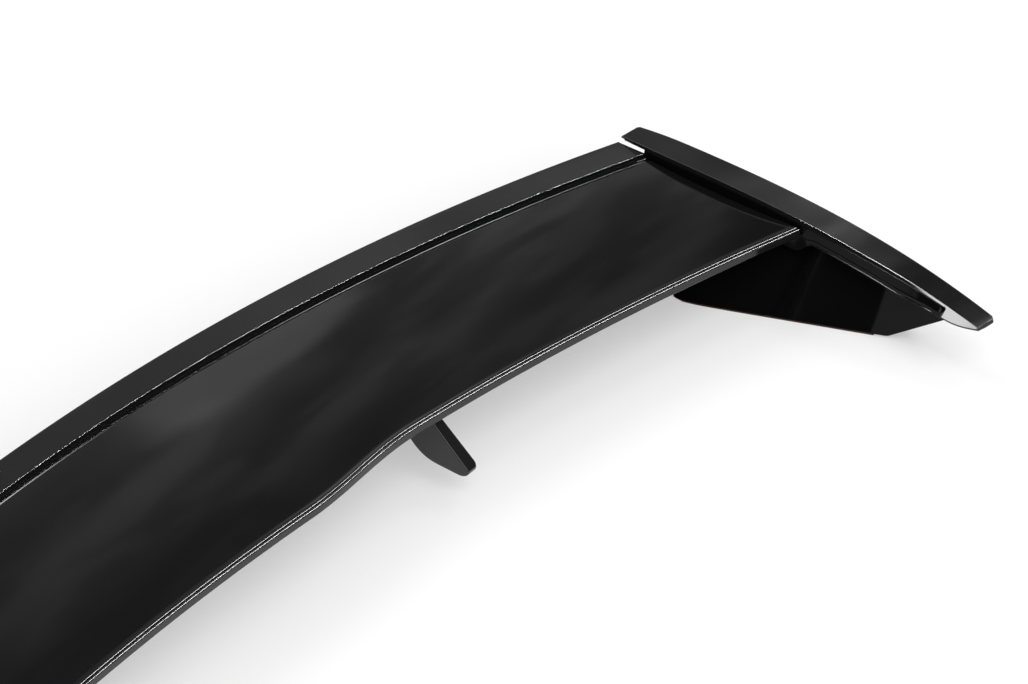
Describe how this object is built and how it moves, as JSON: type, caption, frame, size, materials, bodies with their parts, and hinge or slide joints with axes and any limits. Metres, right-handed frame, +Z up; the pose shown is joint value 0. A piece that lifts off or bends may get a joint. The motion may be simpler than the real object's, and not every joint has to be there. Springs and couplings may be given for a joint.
{
  "type": "rear spoiler wing",
  "caption": "Swept rear wing with a dished blade, a raised trailing lip, end plates on flared feet and two small stands, in gloss black plastic.",
  "frame": {"origin": "middle of the bounding box on the floor the feet stand on", "axes": "+X along the span to the right end plate, +Y to the rear of the car, +Z up"},
  "size_m": [1.1516, 0.377, 0.0815],
  "materials": {
    "gloss_black": "injection-moulded black plastic, high gloss",
    "black_plastic": "unfinished black plastic inside the blade",
    "foam_tape": "soft adhesive foam with a dark red release film",
    "insert_brass": "knurled brass, turned",
    "screw_steel": "zinc-plated steel"
  },
  "bodies": {
    "root": {"upper_shell": "gloss_black", "lower_shell": "gloss_black", "trailing_lip": "gloss_black", "end_rib_right": "black_plastic", "end_rib_left": "black_plastic", "end_plate_right": "gloss_black", "end_plate_left": "gloss_black", "end_cover_right": "gloss_black", "end_cover_left": "gloss_black", "stand_right": "gloss_black", "stand_left": "gloss_black", "foot_tape_right": "foam_tape", "foot_tape_left": "foam_tape", "thread_inserts": "insert_brass", "end_screws": "screw_steel", "stand_screws": "screw_steel"}
  },
  "joints": []
}
